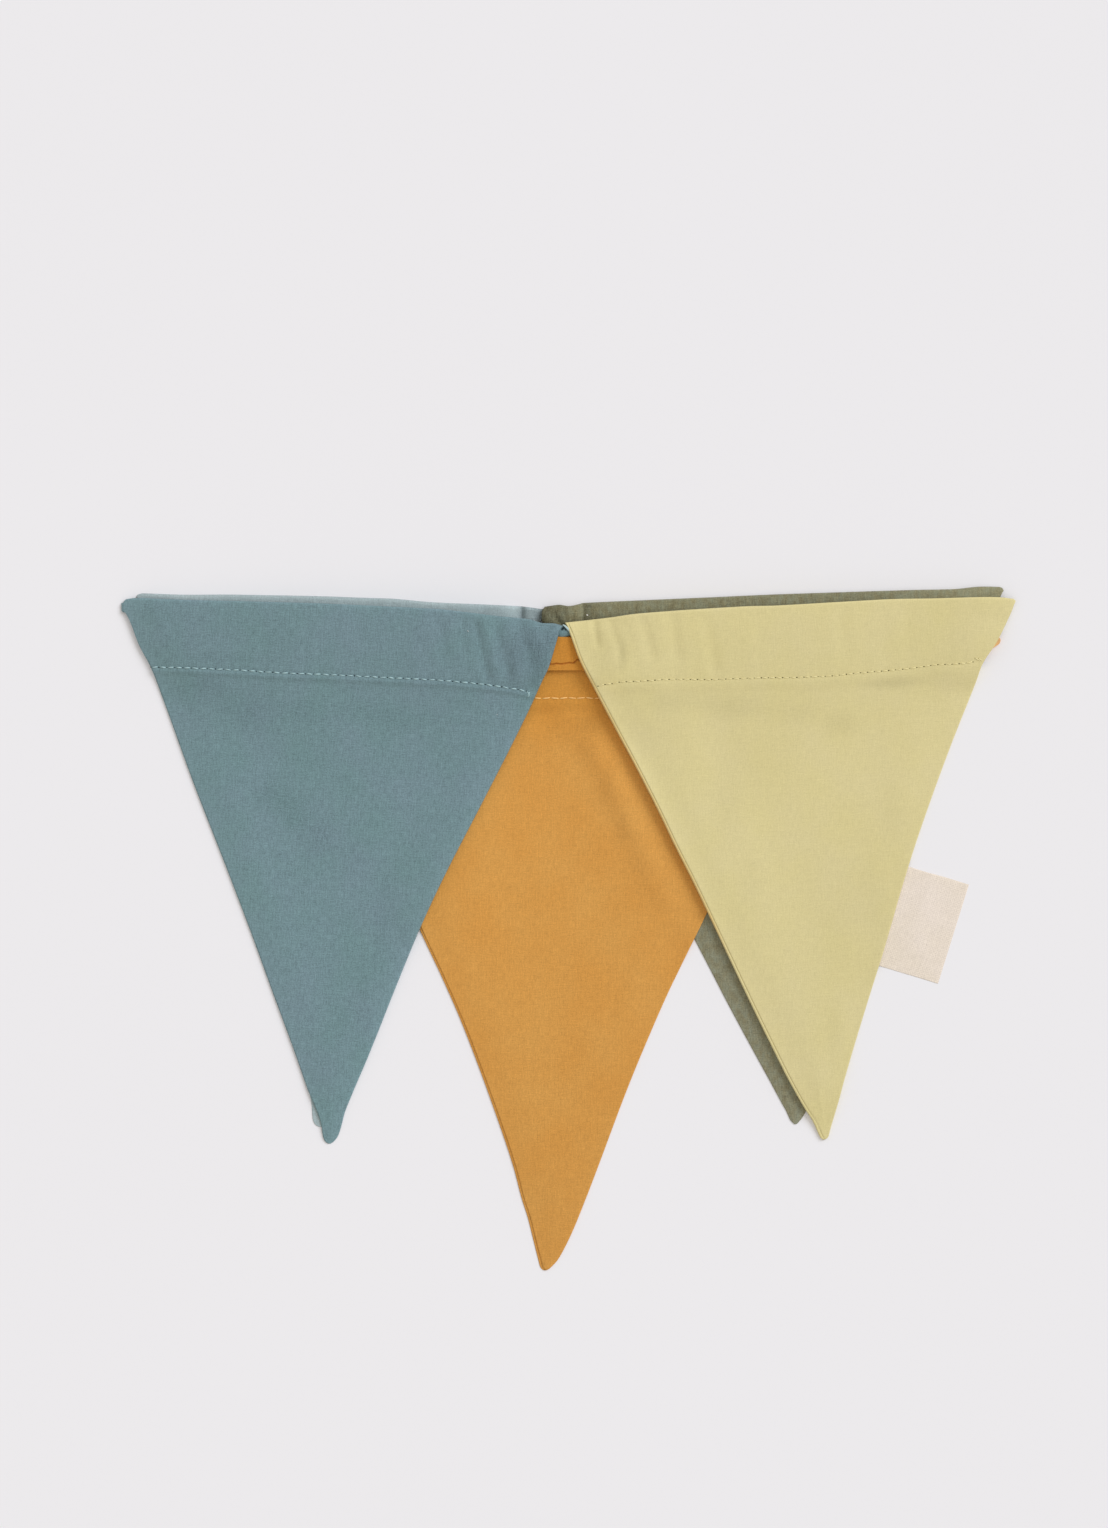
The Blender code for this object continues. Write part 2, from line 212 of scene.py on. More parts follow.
BLUE = dict(
    place=(-72.2, 103.9), turn=-2.9, colour="blue_cotton",
    left=((3.1, -71.2), (5.6, -71), (7.2, -69.7), (8.9, -68.6), (16.6, -64.9), (23.1, -60.8),
        (33.4, -56.2), (60, -45), (85.2, -33.7), (105, -25), (127.5, -15.5), (141, -9.7), (151, -5.6),
        (155.7, -3.7), (163.7, 0.1), (166.9, 1.3), (171.2, 2.2), (172.5, 3), (173, 3.9)),
    right=((3.1, 71.2), (3.9, 70.7), (5, 69.9), (8.7, 69), (17, 66.9), (21.7, 64.9), (30.7, 61.3),
        (44.1, 55.5), (61.2, 47.8), (86.4, 36.4), (102.7, 29.8), (125.6, 21.7), (136, 18.2), (145.5, 14.9),
        (158.3, 10.2), (162.8, 8.7), (167.6, 7.7), (170.4, 6.9), (172.4, 5.5), (173, 4.6)),
    top=((-70.8, 3.1), (-69.6, 1.8), (-65.6, 1.2), (-53.5, 1.1), (-33.3, 0.6), (-4.2, 0), (15.1, -0.1),
        (28.5, -0.1), (40, 0.5), (49.4, 1.2), (54, 1.4), (59.7, 1.7), (64.4, 2.8), (67.4, 2.7),
        (71.1, 3.4)),
    stitches=((-60.5, 23.2), (-48.8, 22.9), (-32.5, 22.8), (-17.8, 23), (-3, 22.8), (13.8, 22.8),
        (29.7, 22.8), (44.4, 23.3), (53.1, 24), (60.7, 24.9)),
    pitch=2.62, side_round=0.45, hem=(1.45, 1.5, 0.25), left_lift=((0, 0.1), (172, 0.05)), lift_reach=22,
    right_fall=(0.4, 2.5), gathers=(0.05, 55, 50), thread=(0.21, 0.46), hole=0.34, pull=0.2,
    dense=((40, 72, 2.2),),
    creases=((42.8, 5, 47.2, 20.5, 1.5, -0.38), (45.8, 4, 50.3, 20, 1.9, 0.34),
        (49.4, 5, 53.8, 19.5, 1.5, -0.2), (52.6, 5, 57, 20, 2, 0.2), (56.8, 4, 61.6, 16, 1.7, -0.3),
        (61, 4, 66, 16, 2.2, 0.25), (38.6, 4, 39.3, 12, 1.2, -0.2), (31.2, 4, 34.2, 16, 1.6, -0.22),
        (-40, 28, -30, 60, 12, 0.25), (-5, 40, 5, 90, 14, -0.2)),
    fine_creases=((36, 0.7, 49.4, 1.5, 0.35, 0.2), (49.4, 1.5, 59.7, 2.05, 0.35, 0.25),
        (59.7, 2.05, 64.4, 3.15, 0.35, 0.25), (64.4, 3.15, 70, 3.6, 0.35, 0.3)),
    right_lift=((0, 0.3), (20, 1.3), (45, 2), (85, 1.8), (110, 0.9), (150, 0.7), (172, 0.1)),
    tails=(((60.2, 25), (60.9, 25.5), (61.3, 25.3)), ((60.9, 25.5), (61, 26.3), (60.6, 26.7))),
)
PALE_GREEN = dict(
    place=(71.1, 102.8), turn=3.1, colour="pale_green_cotton",
    left=((0.6, -72.5), (4.1, -71.2), (12.8, -68.6), (21.8, -64.6), (26.1, -62.6), (35.4, -58.3),
        (48, -52.4), (62.9, -45.8), (75, -40.8), (85.2, -36.3), (95.8, -31.9), (128.5, -18.5),
        (140, -13.6), (150.8, -8.9), (160.7, -4), (165, -1.5), (168.7, -0.1), (170.3, 0.6), (170.9, 1.3)),
    right=((1.6, 72.4), (4.4, 71.4), (12.3, 67.2), (15.8, 64.9), (20.3, 61.3), (22, 60.3), (27.2, 58.2),
        (32.5, 55.8), (40, 52.3), (50, 47.8), (72, 38.5), (88.8, 32), (111.1, 24.2), (129.7, 17.3),
        (151.7, 9.4), (158.1, 7.3), (163.8, 5.3), (167.7, 3.9), (169.9, 3.2), (170.5, 2.8), (170.9, 2.1)),
    top=((-72.1, 0.9), (-63.2, 0.4), (-57.3, 0), (-49.5, -0.7), (-42.6, -0.9), (-32.3, -1.1),
        (-15.1, -1.2), (-3.5, -0.9), (29.2, -1), (47.8, -0.4), (62.8, 0), (71.6, 0.95), (72.3, 1.6)),
    stitches=((-62.9, 21.8), (-60.6, 21.4), (-58.3, 21.3), (-55.2, 20.9), (-48.6, 21), (-41.8, 20.9),
        (-26.2, 21.7), (-11, 22), (1.7, 22.5), (10.6, 22.6), (20.3, 22.1), (28.5, 21.9), (39.2, 21.4),
        (46.4, 20.8), (50.5, 20.9), (54.5, 20.8), (57.8, 20.5)),
    pitch=2.27, beside=("flag_blue",), lip=0.95, lip_height=0.93, notch=0.15, top_gap=1,
    right_lift=((0, 0), (135, 0), (160, 0.3), (171, 0.3)), lift_reach=20, gathers=(0.025, -30, 60),
    thread=(0.16, 0.4), hole=0.27, pull=0.05, ridge=0.06, hem=(2.1, 2.4, 0.12),
    tails=(((58, 19.3), (59.6, 20.1)), ((59.2, 19.3), (60.3, 20.3))), dense=((-73, -45, 2.2),),
    creases=((-63, 1, -62.6, 8, 1.2, -0.42), (-57.8, 2, -55.1, 12.5, 1.5, -0.26),
        (-48, 2, -45.6, 12.5, 1.7, -0.26), (-38.5, 1, -37, 14, 2, -0.16),
        (-27.3, 3, -25.9, 18, 1.8, -0.25), (16, 2, 17, 16, 2.5, -0.12)),
    left_lift=((0, 0.5), (20, 1.8), (50, 2.5), (100, 1.9), (150, 1.9), (160, 1.2), (166, 0.5), (171, 0.2)),
)
FLAGS = {
    "flag_light_blue": LIGHT_BLUE, "flag_dark_green": DARK_GREEN, "flag_ochre": OCHRE, "band_ochre": BAND,
    "side_label": LABEL, "flag_blue": BLUE, "flag_pale_green": PALE_GREEN,
}
ORDER = tuple(FLAGS)
CENTRED = (-0.11, 0.14)

# The roll that joins the front flags: (x, y, z, radius) along the roll, along the rim of
# its open end (a lighter tube, painted highlight), across its opening and along its underside
# (dark tubes, painted shade and painted shadow), then specks of lint as (x, y, size) and a speck's path
LINK = {
    "roll": ((-4.6, 94.9, 4.7, 1.5), (-2.6, 94.8, 5, 1.8), (-0.6, 95.1, 5.1, 1.6), (1.2, 95.6, 4.9, 1.2)),
    "rim": ((-1.9, 97.35, 6.4, 0.18), (-1.3, 97, 6.5, 0.28), (-0.5, 96.25, 6.5, 0.34),
        (0.4, 95.2, 6.3, 0.3)),
    "opening_shade": ((-2.15, 95.6, 6.05, 0.16), (-1.8, 96.25, 6.2, 0.26), (-1.4, 96.5, 6.25, 0.28),
        (-1.05, 96.2, 6.2, 0.24), (-0.9, 95.6, 6.15, 0.14)),
    "underside_shadow": ((-3.1, 92.95, 4.5, 0.22), (-2.5, 92.8, 4.5, 0.36), (-1.7, 92.9, 4.5, 0.36),
        (-0.7, 93.4, 4.5, 0.3), (0.1, 94.1, 4.5, 0.18)),
}
LINT = ((5.9, 100.5, 0.3), (-32.2, 95.3, 0.16), (-22.9, 68.6, 0.12))
LINT_PATH = ((-1, 0, 0), (-0.5, 0.1, 0.05), (0.5, 0, 0.05), (1, -0.1, 0))


def smooth(points, at):
    """A curve through a table's rows that never swings past them."""
    x, y = np.array(points, float).T
    run = np.diff(x)
    secant = np.diff(y) / run
    slope = np.zeros(len(x))
    slope[0] = secant[0]
    slope[-1] = secant[-1]
    same = secant[:-1] * secant[1:] > 0
    both = secant[:-1] + secant[1:]
    slope[1:-1][same] = 2 * secant[:-1][same] * secant[1:][same] / both[same]
    at = np.clip(at, x[0], x[-1])
    row = np.clip(np.searchsorted(x, at, side="right") - 1, 0, len(x) - 2)
    t = (at - x[row]) / run[row]
    return (
        (2 * t**3 - 3 * t**2 + 1) * y[row]
        + (t**3 - 2 * t**2 + t) * run[row] * slope[row]
        + (3 * t**2 - 2 * t**3) * y[row + 1]
        + (t**3 - t**2) * run[row] * slope[row + 1]
    )


def eased(amount):
    """0 up to 1 with a soft start and end."""
    amount = np.clip(amount, 0, 1)
    return amount * amount * (3 - 2 * amount)


def rounded(distance, radius):
    """The profile of a round edge: 0 at the edge, 1 at its radius."""
    return np.sqrt(1 - (1 - np.clip(distance / radius, 0, 1)) ** 2)


def bell(distance, half_width):
    """1 at no distance, falling away softly on both sides."""
    return np.exp(-((distance / half_width) ** 2))


def waves(seed, along, down, size, height, count=9):
    """A soft random unevenness of about this size and height."""
    chance = np.random.default_rng(seed)
    total = np.zeros_like(along)
    for _ in range(count):
        heading = chance.uniform(0, math.pi)
        length = size * chance.uniform(*WAVE_LENGTHS)
        phase = chance.uniform(0, 2 * math.pi)
        run = along * math.cos(heading) + down * math.sin(heading)
        total += np.sin(2 * math.pi * run / length + phase)
    return total / math.sqrt(count) * height


# Height fields: the heights of the laid cloths on a square grid over the whole object
FIELD_X = np.arange(-152, 152, CELL)
FIELD_Y = np.arange(-118, 118, CELL)
FIELD_POINTS = np.meshgrid(FIELD_X, FIELD_Y)


def blurred(field, size):
    """The field with detail finer than the size taken off."""
    across = np.fft.rfftfreq(field.shape[1], CELL)
    up = np.fft.fftfreq(field.shape[0], CELL)[:, None]
    kept = np.exp(-2 * (math.pi * size) ** 2 * (across**2 + up**2))
    return np.fft.irfft2(np.fft.rfft2(field) * kept, field.shape)


def spread(field, reach):
    """Each place raised to the highest one within reach of it."""
    cells, done = round(reach / CELL), 0
    while done < cells:
        step = min(done + 1, cells - done)
        for axis in (0, 1):
            shifted = np.roll(field, step, axis), np.roll(field, -step, axis)
            field = np.maximum(field, np.maximum(*shifted))
        done += step
    return field


def laid_over(field, reach):
    """What a cloth of this stiffness makes of the heights below it."""
    return blurred(spread(field, reach), reach / 2)


def read_field(field, x, y):
    """The field's height between its cells, on a smooth curve both ways."""
    row = (y - FIELD_Y[0]) / CELL
    column = (x - FIELD_X[0]) / CELL
    first_row = np.floor(row).astype(int)
    first_column = np.floor(column).astype(int)

    def shares(t):
        return (-t + 2 * t**2 - t**3, 2 - 5 * t**2 + 3 * t**3, t + 4 * t**2 - 3 * t**3, -(t**2) + t**3)

    height = np.zeros_like(x)
    for i, row_share in enumerate(shares(row - first_row)):
        for j, column_share in enumerate(shares(column - first_column)):
            height += row_share * column_share * field[first_row + i - 1, first_column + j - 1] / 4
    return height


class Cloth:
    """One flat piece of the stack, in its own along and down."""

    def __init__(self, name):
        self.name = name
        vars(self).update(PLAIN, **FLAGS[name])
        self.level = ORDER.index(name)
        turn = math.radians(self.turn)
        self.cos, self.sin = math.cos(turn), math.sin(turn)
        self.tall = max(self.left[-1][0], self.right[-1][0])
        self.is_flag = name.startswith("flag")

    def world(self, along, down):
        x, y = self.place
        x = x + along * self.cos + down * self.sin + CENTRED[0]
        return x, y + along * self.sin - down * self.cos + CENTRED[1]

    def own(self, x, y):
        x = x - self.place[0] - CENTRED[0]
        y = y - self.place[1] - CENTRED[1]
        return x * self.cos + y * self.sin, x * self.sin - y * self.cos

    def from_edges(self, along, down):
        """How far points lie from the left, the right and the top edge."""
        from_top = down - smooth(self.top, along)
        return along - smooth(self.left, down), smooth(self.right, down) - along, from_top

    def creased(self, along, down, kind="creases"):
        height = np.zeros_like(along)
        for a, d, to_a, to_d, half_width, rise in getattr(self, kind):
            run = np.hypot(to_a - a, to_d - d)
            share = ((along - a) * (to_a - a) + (down - d) * (to_d - d)) / run**2
            inside = np.clip(share, 0, 1)
            off_line = np.hypot(along - a - inside * (to_a - a), down - d - inside * (to_d - d))
            height += rise * bell(off_line, half_width)
        return height

    def body(self, along, down):
        """The thickness without the edges: the casing's puff, then the hem's end below the
        stitches, then the flag's own two layers, thinner along their seams."""
        from_left, from_right, from_top = self.from_edges(along, down)
        if not self.is_flag:
            return END_THICK + (self.thick - END_THICK) * eased(from_left / self.taper)
        left_reach, right_reach = self.seam_reach
        full = eased(np.minimum(from_left / left_reach, from_right / right_reach))
        stitch = smooth(self.stitches, along) - smooth(self.top, along)
        puff = np.sin(math.pi * np.clip(from_top / stitch, 0, 1)) ** PUFF_POWER
        hem_below, hem_end, hem_rise = self.hem
        below_hem = from_top - stitch - hem_below
        hem = hem_rise * (1 - eased(below_hem / hem_end))
        slope = np.exp(-np.maximum(below_hem, 0) / HEM_FALL)
        ridge = bell(from_top - stitch - RIDGE_BELOW, RIDGE_HALF_WIDTH) * self.ridge
        roll, roll_width = self.roll
        hem += roll * np.sin(math.pi * np.clip(from_top / roll_width, 0, 1))
        layers = SEAM_THICK + (self.thick - SEAM_THICK) * full
        return layers + hem + ridge + CASING_RISE * slope * full + CASING_PUFF * puff

    def stepped(self, along, down):
        """Folds across the casing: the cloth drops on their right and comes up again slowly."""
        height = np.zeros_like(along)
        for place, drop, recover in self.steps:
            past = along - place
            height -= drop * eased(past / STEP_WIDTH) * np.exp(-np.maximum(past, 0) / recover)
        start, length = STEP_FADE
        return height * (1 - eased((down - smooth(self.top, along) - start) / length))

    def lay(self, below):
        """Works out the lower face over the pieces below: close to them at its own edges,
        and within the flag so gently that they don't show through."""
        support = np.zeros_like(FIELD_POINTS[0])
        for other in below:
            if other.name not in self.beside:
                support = np.maximum(support, other.upper_field)
        along, down = self.own(*FIELD_POINTS)
        close = laid_over(support, CLOSE_REACH) + self.gap
        gentle = np.maximum(laid_over(support, GENTLE_REACH) + self.gap, close)
        from_left, from_right, from_top = self.from_edges(along, down)
        from_sides = np.minimum(np.minimum(from_left, from_right), self.tall - down)
        self.lower_field = close + (gentle - close) * eased(from_sides / EDGE_HOLD)
        self.rim_field = laid_over(support, RIM_REACH)
        self.rim_field += self.gap * eased(self.rim_field / RIM_SOFT)
        if self.is_flag:
            uneven = sum(waves(self.level + seed, along, down, size, high) for seed, size, high in UNEVEN)
            self.lower_field += np.maximum(uneven + self.creased(along, down), 0)
        if not below:
            self.lower_field *= 0
        upper = self.lower_field + self.lifted(along, down) + self.body(along, down)
        self.upper_field = np.where(np.minimum(from_sides, from_top) > 0, upper, 0)

    def lifted(self, along, down):
        """How far the side edges stand off what they lie on."""
        from_left, from_right, _ = self.from_edges(along, down)
        left_share = 1 - eased(from_left / LEFT_LIFT_REACH)
        right_share = 1 - eased(from_right / self.lift_reach)
        height = smooth(self.left_lift, down) * left_share
        return height + smooth(self.right_lift, down) * right_share

    def groove(self, along, down):
        """The cloth drawn in along the stitches, deepest at the needle holes."""
        if not self.stitches:
            return np.zeros_like(along)
        start, end = self.stitches[0][0], self.stitches[-1][0]
        pull = PULL_SHARE + (1 - PULL_SHARE) * np.cos(2 * math.pi * (along - start) / self.pitch)
        begun = eased((along - start + GROOVE_END) / GROOVE_END)
        inside = begun * eased((end + GROOVE_END - along) / GROOVE_END)
        return -self.pull * pull * inside * bell(down - smooth(self.stitches, along), GROOVE_HALF_WIDTH)

    def gathered(self, along, down):
        """Soft upright folds across the casing, where the band draws it together."""
        total = np.zeros_like(along)
        if not self.gathers:
            return total
        height, middle, reach = self.gathers
        chance = np.random.default_rng(self.level + GATHER_SEED)
        for _ in range(GATHER_COUNT):
            length = chance.uniform(*GATHER_LENGTHS)
            lean = chance.uniform(-GATHER_LEAN, GATHER_LEAN)
            total += np.sin(2 * math.pi * ((along + lean * down) / length + chance.uniform()))
        from_top = down - smooth(self.top, along)
        below = smooth(self.stitches, along) - down
        begun = eased(from_top / GATHER_TOP[0] + GATHER_TOP[1])
        held = begun * eased((below + GATHER_END[0]) / GATHER_END[1])
        near = GATHER_SHARE + bell(along - middle, reach)
        return height * total / math.sqrt(GATHER_COUNT / 2) * held * near

    def folded(self, along, down):
        """The edge of the strip folded up on the band: a crevice above it, then its lit rim."""
        if not self.fold:
            return np.zeros_like(along)
        below = down - smooth(self.fold, along)
        above, half_width, depth = CREVICE
        reach, rise = FOLD_RIM
        return rise * eased(below / reach) - depth * bell(below + above, half_width)

    def raised(self, along, down, full):
        """The share of its full height that the cloth has at its round or seamed edges."""
        from_left, from_right, from_top = self.from_edges(along, down)
        past_lip = from_left - self.lip
        if self.lip:
            step = np.where(past_lip < 0, 0, rounded(past_lip, LIP_RADIUS))
            left = self.lip_height * rounded(from_left, LIP_RADIUS) + (1 - self.lip_height) * step
            left = left - self.notch / full * bell(past_lip, NOTCH_HALF_WIDTH)
        else:
            near_top = 1 - eased(from_top / END_ROUND_REACH)
            left = rounded(from_left, self.side_round + self.end_round * near_top)
        top_round = self.top_round if self.is_flag else self.side_round
        share = left * rounded(from_right, self.side_round) * rounded(from_top, top_round)
        if self.is_flag:
            return share
        return share * rounded(self.tall + smooth(self.top, along) - down, self.side_round)

    def surfaces(self, along, down):
        """(lower, upper) heights, edges rounded, of points inside the outline."""
        from_left, from_right, from_top = self.from_edges(along, down)
        rim = read_field(self.rim_field, *self.world(along, down))
        rim = rim + self.top_gap * (1 - eased(from_top / TOP_GAP_REACH))
        stand = read_field(self.lower_field, *self.world(along, down)) + self.lifted(along, down) - rim
        full = stand + self.body(along, down)
        fine = self.groove(along, down) + np.minimum(self.creased(along, down), 0)
        fine += self.gathered(along, down) + self.folded(along, down) + self.stepped(along, down)
        fine += self.creased(along, down, "fine_creases")
        drop, reach = self.right_fall
        fine -= drop * np.exp(-from_right / reach) * eased(from_top / FALL_REACH)
        edge = math.prod(rounded(way, EDGE_REACH) for way in (from_left, from_right, from_top))
        inside = np.minimum(np.minimum(from_left, from_right), from_top)
        lower = rim + stand * eased(inside / LOWER_REACH)
        share = EDGE_SHARE + (1 - EDGE_SHARE) * self.raised(along, down, full)
        upper = rim + full * share + fine * edge
        return lower, np.maximum(upper, lower + THINNEST)

    def rows(self):
        """Down positions of the mesh rows before the top edge's dip is added."""
        marks = list(TOP_STEPS)
        last = TOP_STEPS[-1]
        if not self.is_flag:
            inner = np.linspace(last, self.tall - last, round(self.tall / STITCH_SPACING))[1:-1]
            if self.fold:
                low = min(d for a, d in self.fold) - FOLD_ROWS_ABOVE
                inner = [*inner[inner < low], *np.arange(low, self.tall - last, FOLD_SPACING)[:-1]]
            return np.array([*marks, *inner, *(self.tall - np.array(marks[::-1]))])
        before, after = STITCH_ROWS
        casing = self.stitches[0][1]
        marks += list(np.arange(last + CASING_SPACING, casing + before, CASING_SPACING))
        marks += list(np.arange(marks[-1] + STITCH_SPACING, casing + after, STITCH_SPACING))
        body = np.arange(marks[-1] + SPACING, self.tall - TIP_STEPS[0] - TIP_ROOM, SPACING)
        return np.array([*marks, *body, *(self.tall - np.array(TIP_STEPS))])

    def column_shares(self, left, right):
        """Where the inner mesh columns stand from side to side, closer in the narrow folds."""
        fine = np.linspace(0, 1, SAMPLES + 1)
        along = left + fine * (right - left)
        crowd = np.ones_like(along)
        for start, end, closer in self.dense:
            crowd += closer * eased((along - start) / 2) * eased((end - along) / 2)
        run = np.cumsum(crowd) - crowd[0]
        count = max(6, round(run[-1] / SAMPLES * (right - left) / SPACING))
        return np.interp(np.linspace(0, run[-1], count), run, fine)[1:-1]

    def grid(self):
        """(along, down) of the mesh points."""
        rows = self.rows()
        fade = np.clip(1 - rows / DIP_REACH, 0, 1) if self.is_flag else 1 - rows / self.tall
        left = smooth(self.left, rows + self.top[0][1] * fade)
        right = smooth(self.right, rows + self.top[-1][1] * fade)
        width = right - left
        steps = np.array(EDGE_STEPS)
        shrink = np.minimum(1, width / (4 * steps[-1]))[:, None]
        share = self.column_shares(left.min(), right.max())
        start = left[:, None] + steps * shrink
        end = right[:, None] - steps[::-1] * shrink
        inner = start[:, -1:] + (end[:, :1] - start[:, -1:]) * share
        along = np.concatenate([start, inner, end], axis=1)
        down = rows[:, None] + smooth(self.top, along) * fade[:, None]
        return along, down


CLOTHS = []
for piece_name in ORDER:
    piece = Cloth(piece_name)
    piece.lay(CLOTHS)
    CLOTHS.append(piece)


def put(name, data):
    made = bpy.data.objects.new(name, data)
    scene.collection.objects.link(made)
    return made


def add_mesh(name, points, faces, material, slot_name, **uv_maps):
    """A mesh object from points in millimetres, smooth shaded, riding on the root body."""
    mesh = bpy.data.meshes.new(name)
    mesh.from_pydata([tuple(point) for point in np.asarray(points) * MM], [], faces)
    mesh.validate()
    for map_name, uv in uv_maps.items():
        layer = mesh.uv_layers.new(name=map_name)
        corner_points = np.empty(len(mesh.loops), np.int32)
        mesh.loops.foreach_get("vertex_index", corner_points)
        layer.data.foreach_set("uv", np.asarray(uv, np.float32)[corner_points].ravel())
    mesh.shade_smooth()
    mesh.materials.append(material)
    made = put(name, mesh)
    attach(made, "root")
    return made


def build_sheet(cloth, material):
    """A closed thin mesh: an upper and a lower face that meet along the outline."""
    along, down = cloth.grid()
    lower, upper = cloth.surfaces(along, down)
    x, y = cloth.world(along, down)
    inner = np.zeros(along.shape, bool)
    inner[1:-1, 1:-1] = True
    upper = np.where(inner, upper, (lower + upper) / 2)
    top_index = np.arange(along.size).reshape(along.shape)
    low_index = top_index.copy()
    low_index[inner] = along.size + np.arange(inner.sum())
    from_left, from_right, from_top = cloth.from_edges(along, down)

    def both_faces(*layers):
        return np.concatenate([layers[0].reshape(-1, layers[0].shape[-1]), layers[-1][inner]])

    def quads(index):
        corners = [index[:-1, :-1], index[1:, :-1], index[1:, 1:], index[:-1, 1:]]
        return np.stack(corners, -1).reshape(-1, 4)

    points = both_faces(np.stack([x, y, upper], -1), np.stack([x, y, lower], -1))
    grain = np.stack([along, -down], -1)
    edges = np.stack([from_left, np.minimum(from_right, from_top)], -1)
    maps = {"grain": both_faces(grain), "edges": both_faces(edges)}
    faces = np.concatenate([quads(top_index), quads(low_index)[:, ::-1]])
    made = add_mesh(cloth.name + "_cloth", points, faces.tolist(), material, cloth.colour, **maps)
    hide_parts(cloth.name)
    return made, outline_area(along, down)


def outline_area(along, down):
    """The area inside a grid's border, in square metres."""
    rings = [[way[0], way[1:, -1], way[-1, -2::-1], way[-2:0:-1, 0]] for way in (along, down)]
    a, d = [np.concatenate(ring) for ring in rings]
    return abs((a * np.roll(d, -1) - d * np.roll(a, -1)).sum()) / 2 * MM * MM


def stitch_marks(cloth):
    """Where the needle went in, as (along, down), an even pitch apart along the line."""
    start, end = cloth.stitches[0][0], cloth.stitches[-1][0]
    along = np.arange(start, end, cloth.pitch)
    return along, smooth(cloth.stitches, along)


def add_tube(points, faces, path, radii, sides=8, flat=0.8):
    """Adds a round thread along a path of (x, y, z), closed at both ends."""
    first = len(points)
    path = np.asarray(path, float)
    for k in range(len(path)):
        ahead = path[min(k + 1, len(path) - 1)] - path[max(k - 1, 0)]
        across = np.array([-ahead[1], ahead[0]]) / np.hypot(ahead[0], ahead[1])
        for side in range(sides):
            angle = 2 * math.pi * side / sides
            x, y = path[k][:2] + across * radii[k] * math.cos(angle)
            points.append((x, y, path[k][2] + flat * radii[k] * math.sin(angle)))
    for k in range(len(path) - 1):
        for side in range(sides):
            a = first + k * sides + side
            b = first + k * sides + (side + 1) % sides
            faces.append((a, b, b + sides, a + sides))
    faces.append(tuple(range(first, first + sides))[::-1])
    faces.append(tuple(range(len(points) - sides, len(points))))


def add_thread(points, faces, cloth, run, rise, radii):
    """Adds a thread that lies on a cloth along rows of (along, down)."""
    x, y = cloth.world(run[:, 0], run[:, 1])
    height = cloth.surfaces(run[:, 0], run[:, 1])[1] + rise
    add_tube(points, faces, np.stack([x, y, height], -1), radii)


def build_stitches(cloth, material, rings=6):
    """Each stitch a short bowed thread from hole to hole, all in one mesh."""
    along, down = stitch_marks(cloth)
    radius, gap = cloth.thread
    at_tilt, at_end, at_start = THREAD_SHIFTS
    chance = np.random.default_rng(cloth.level + STITCH_SEED)
    points, faces = [], []
    share = np.linspace(0, 1, rings)
    bow = np.sin(math.pi * share)
    for n in range(len(along) - 1):
        jitter = chance.uniform(-1, 1, 3)
        tilt = THREAD_SLANT * (1 if n % 2 else -1) + at_tilt * jitter[0]
        start = np.array([along[n] + gap + at_start * jitter[2], down[n] - tilt])
        end = np.array([along[n + 1] - gap + at_end * jitter[1], down[n + 1] + tilt])
        run = start + (end - start) * share[:, None]
        plump = radius * chance.uniform(*THREAD_PLUMP)
        radii = plump * (THREAD_ENDS + (1 - THREAD_ENDS) * bow**0.5)
        add_thread(points, faces, cloth, run, THREAD_BOW * bow, radii)
    for tail in cloth.tails:
        add_thread(points, faces, cloth, np.array(tail), TAIL_RADIUS / 2, [TAIL_RADIUS] * len(tail))
    return add_mesh(cloth.name + "_stitches", points, faces, material, cloth.colour)


def build_holes(cloth, material, sides=10):
    """The needle holes: small pits in the groove, capped with dark discs as painted shade."""
    along, down = stitch_marks(cloth)
    height = cloth.surfaces(along, down)[1]
    points, faces = [], []
    chance = np.random.default_rng(cloth.level + HOLE_SEED)
    for a, d, z in zip(along, down, height):
        radius = cloth.hole * chance.uniform(*HOLE_PLUMP)
        first = len(points)
        for ring, lift in HOLE_RINGS:
            wide = radius * ring
            for side in range(sides):
                angle = 2 * math.pi * side / sides
                spot = a + wide * math.cos(angle), d + HOLE_FLAT * wide * math.sin(angle)
                points.append((*cloth.world(*spot), z + lift))
        low = len(points)
        points.append((*cloth.world(a, d), z - HOLE_DEPTH))
        for side in range(sides):
            after = (side + 1) % sides
            faces.append((first + side, first + sides + side, first + sides + after, first + after))
            faces.append((first + side, first + after, low))
        faces.append(tuple(range(first + sides, first + 2 * sides))[::-1])
    return add_mesh(cloth.name + "_needle_holes", points, faces, material, cloth.colour)


def build_link(material, rim_highlight_look, shade_look):
    """The blue roll that joins the two front flags, seen between their corners: the roll, a
    lighter tube along the rim of its open end as a painted highlight, and dark tubes as painted
    shade in its opening and painted shadow under it."""
    made = []
    for (part_name, rows), look in zip(LINK.items(), (material, rim_highlight_look, shade_look, shade_look)):
        path = np.array(rows, float)
        share = np.linspace(0, len(path) - 1, 6 * len(path))
        path = np.stack([np.interp(share, np.arange(len(path)), way) for way in path.T], -1)
        points, faces = [], []
        add_tube(points, faces, path[:, :3], path[:, 3], sides=16, flat=0.6)
        grain = np.array(points)[:, :2]
        maps = {"grain": grain, "edges": grain * 0 + 9}
        made.append(add_mesh("flag_blue_link_" + part_name, points, faces, look, "blue_cotton", **maps))
    return made


def build_lint(material):
    """A few white specks of lint that lie on the cloths."""
    points, faces = [], []
    for x, y, size in LINT:
        spot = np.array([x]), np.array([y])
        z = max(read_field(cloth.upper_field, *spot)[0] for cloth in CLOTHS) + size / 3
        path = [(x + way * size, y + off, z + lift) for way, off, lift in LINT_PATH]
        add_tube(points, faces, path, [size / 3, size / 2, size / 2, size / 3])
    return add_mesh("flag_dark_green_lint", points, faces, material, "light_blue_cotton")


